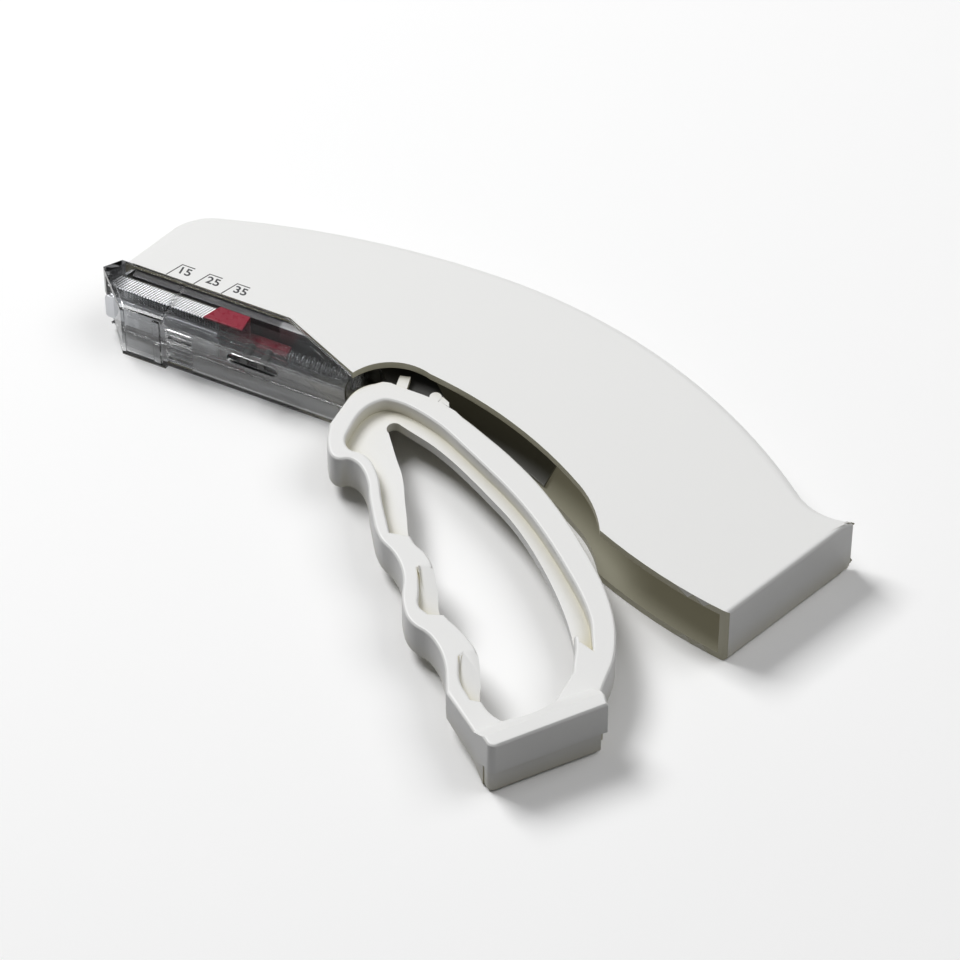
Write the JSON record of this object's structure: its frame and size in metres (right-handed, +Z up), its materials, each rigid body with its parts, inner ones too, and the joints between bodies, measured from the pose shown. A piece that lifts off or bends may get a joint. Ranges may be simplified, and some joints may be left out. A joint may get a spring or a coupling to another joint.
{
  "type": "skin stapler",
  "caption": "Disposable surgical skin stapler with a curved housing, clear staple nose and squeeze loop trigger.",
  "frame": {"origin": "middle of the bounding box's underside, on the surface that the stapler lies on", "axes": "+X runs back along the staple track from the nose to the tail, +Y from the finger loop to the housing's curved back, +Z up from the face that it lies on"},
  "size_m": [0.1702, 0.114, 0.016],
  "materials": {
    "white_plastic": "satin white moulding",
    "clear_plastic": "clear, polished, faintly smoky",
    "dark_plastic": "dark grey moulding",
    "red_plastic": "deep red moulding",
    "steel": "stamped bright steel",
    "dark_steel": "stamped steel, darker",
    "staple_wire": "drawn stainless wire",
    "spring_steel": "drawn spring wire"
  },
  "bodies": {
    "housing_body": {"housing": "white_plastic", "nose_cover_left": "clear_plastic", "nose_cover_right": "clear_plastic", "magazine_base": "clear_plastic", "base_pegs": "dark_plastic", "anvil": "steel", "staple_rail": "clear_plastic", "track_cover": "dark_steel", "frame_left": "dark_steel", "frame_right": "dark_steel", "frame_rivets": "steel", "pivot_pin": "steel", "staples": "staple_wire", "feed_spring": "spring_steel", "return_spring": "spring_steel"},
    "trigger_body": {"trigger": "white_plastic", "drive_lever": "dark_plastic", "lever_pins": "steel", "link_pin": "steel"},
    "ram_body": {"ram": "steel", "ram_carrier": "dark_plastic", "carrier_rivets": "steel", "front_staple": "staple_wire"},
    "pusher_body": {"pusher": "red_plastic"}
  },
  "joints": [
    {"name": "trigger_squeeze", "type": "hinge", "parent": "housing_body", "child": "trigger_body", "pos_m": [-0.0465, 0.0327, 0.008], "axis": [0, 0, 1], "range_deg": [0, 14], "stiffness_Nm_per_rad": 0.8, "springref_deg": -9.17, "deforming": ["return_spring"]},
    {"name": "ram_slide", "type": "slide", "parent": "housing_body", "child": "ram_body", "axis": [-0.4384, -0.8988, 0], "range_m": [0, 0.0062], "deforming": ["front_staple"]},
    {"name": "pusher_slide", "type": "slide", "parent": "housing_body", "child": "pusher_body", "axis": [-1, 0, 0], "range_m": [0, 0.0219], "deforming": ["staples", "feed_spring"]}
  ],
  "couplings": [
    {"joint": "ram_slide", "follows": "trigger_squeeze", "m_per_rad": 0.02537}
  ]
}
